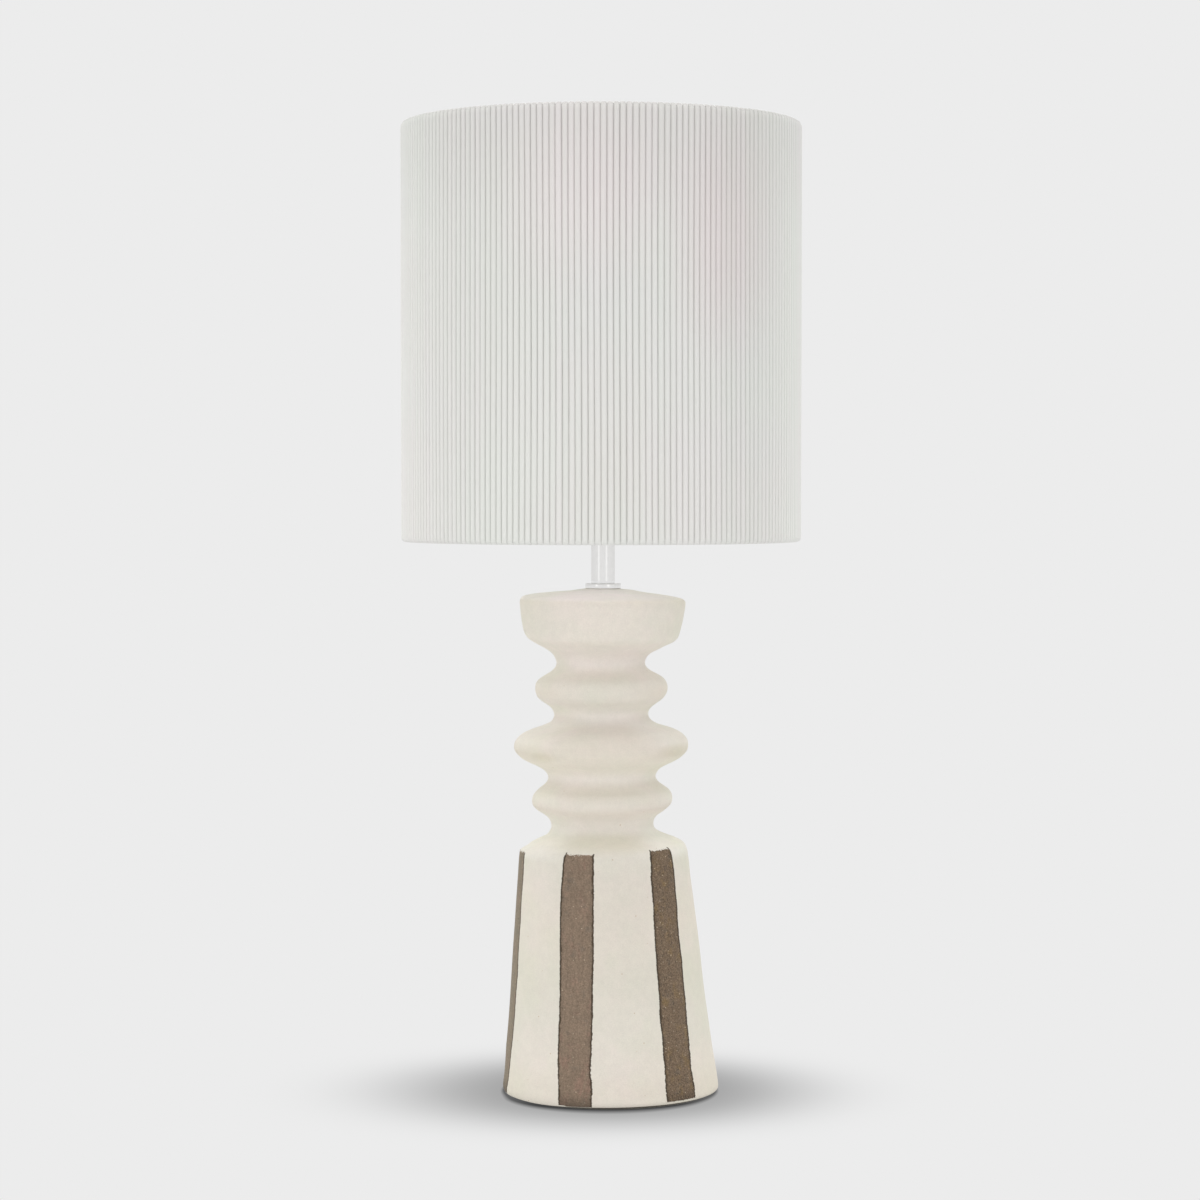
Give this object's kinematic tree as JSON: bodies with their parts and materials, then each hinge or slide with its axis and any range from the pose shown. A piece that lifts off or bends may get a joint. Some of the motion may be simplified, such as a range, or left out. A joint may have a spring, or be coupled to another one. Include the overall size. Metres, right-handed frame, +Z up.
{
  "type": "table lamp",
  "caption": "Table lamp with a turned ceramic body in stacked rings on a striped tapered foot, a metal neck and a tall pleated drum shade on a harp.",
  "frame": {"origin": "on the table top, on the axis of the threaded rod that carries the neck, socket, harp and shade; the foot's centre stands 6 mm to +X of it", "axes": "+Z up along the rod; the front of the lamp looks along -Y; +X is to the right seen from the front, where the oblique foot reaches further out"},
  "size_m": [0.33, 0.33, 0.7997],
  "materials": {
    "ceramic": "matt cream slip with brown painted stripes",
    "felt": "black felt",
    "cork": "pressed cork",
    "zinc_steel": "zinc plated",
    "black_plastic": "moulded",
    "rubber": "matt",
    "nickel": "polished nickel",
    "nickel_plate": "satin nickel plate",
    "fibre": "vulcanised fibre",
    "contact_brass": "plain",
    "bulb_cap": "plain",
    "bulb_collar": "smooth",
    "bulb_board": "white solder mask",
    "bulb_diffuser": "frosted",
    "shade_fabric": "pleated white cloth",
    "liner": "white film",
    "white_wire": "white powder coat"
  },
  "bodies": {
    "base": {"base_felt": "felt", "ceramic_body": "ceramic", "floor_gasket": "cork", "floor_washer": "zinc_steel", "lock_washer": "zinc_steel", "rod_nut": "zinc_steel", "threaded_rod": "zinc_steel", "rod_bushing": "black_plastic", "inlet_grommet": "rubber", "neck_gasket": "cork", "neck_flange": "nickel", "neck_tube": "nickel", "neck_cap": "nickel", "harp_saddle": "nickel_plate", "socket_cap": "nickel_plate", "socket_set_screw": "zinc_steel", "socket_shell": "nickel_plate", "socket_sleeve": "fibre", "socket_block": "black_plastic", "screw_shell": "contact_brass", "centre_contact": "contact_brass", "terminal_screw_a": "contact_brass", "terminal_screw_b": "zinc_steel"},
    "switch": {"switch_shaft": "black_plastic", "switch_knob": "black_plastic"},
    "bulb_foot": {"bulb_tip": "contact_brass"},
    "bulb": {"bulb_insulator": "black_plastic", "bulb_screw_cap": "bulb_cap", "bulb_collar": "bulb_collar", "bulb_board": "bulb_board", "bulb_diffuser": "bulb_diffuser"},
    "harp": {"harp_bow": "nickel_plate"},
    "ferrule_left": {"ferrule_left": "nickel_plate"},
    "ferrule_right": {"ferrule_right": "nickel_plate"},
    "stud": {"harp_stud": "nickel_plate"},
    "shade": {"shade_cover": "shade_fabric", "shade_liner": "liner", "top_ring": "white_wire", "bottom_ring": "white_wire", "top_hem": "shade_fabric", "bottom_hem": "shade_fabric", "spider_hub": "white_wire", "spider_arm_a": "white_wire", "spider_arm_b": "white_wire", "spider_arm_c": "white_wire"},
    "finial_foot": {"finial_insert": "contact_brass"},
    "finial": {"finial_knob": "nickel"}
  },
  "joints": [
    {"name": "switch_turn", "type": "hinge", "parent": "base", "child": "switch", "pos_m": [0, -0.028, 0.529], "axis": [0, -1, 0], "continuous": true},
    {"name": "bulb_rise", "type": "slide", "parent": "base", "child": "bulb_foot", "axis": [0, 0, 1], "range_m": [0, 0.01]},
    {"name": "bulb_turn", "type": "hinge", "parent": "bulb_foot", "child": "bulb", "pos_m": [0, 0, 0.55], "axis": [0, 0, 1], "range_deg": [0, 990]},
    {"name": "harp_lift", "type": "slide", "parent": "base", "child": "harp", "axis": [0, 0, 1], "range_m": [0, 0.02]},
    {"name": "ferrule_left_slide", "type": "slide", "parent": "harp", "child": "ferrule_left", "axis": [0, 0, 1], "range_m": [0, 0.014]},
    {"name": "ferrule_right_slide", "type": "slide", "parent": "harp", "child": "ferrule_right", "axis": [0, 0, 1], "range_m": [0, 0.014]},
    {"name": "stud_swivel", "type": "hinge", "parent": "harp", "child": "stud", "pos_m": [0, 0, 0.77], "axis": [0, 0, 1], "continuous": true},
    {"name": "shade_lift", "type": "slide", "parent": "stud", "child": "shade", "axis": [0, 0, 1], "range_m": [0, 0.36]},
    {"name": "finial_rise", "type": "slide", "parent": "shade", "child": "finial_foot", "axis": [0, 0, 1], "range_m": [0, 0.0095]},
    {"name": "finial_turn", "type": "hinge", "parent": "finial_foot", "child": "finial", "pos_m": [0, 0, 0.785], "axis": [0, 0, 1], "range_deg": [0, 3600]}
  ],
  "couplings": [
    {"joint": "bulb_rise", "follows": "bulb_turn", "m_per_rad": 0.00057757},
    {"joint": "finial_rise", "follows": "finial_turn", "m_per_rad": 0.00014961}
  ]
}
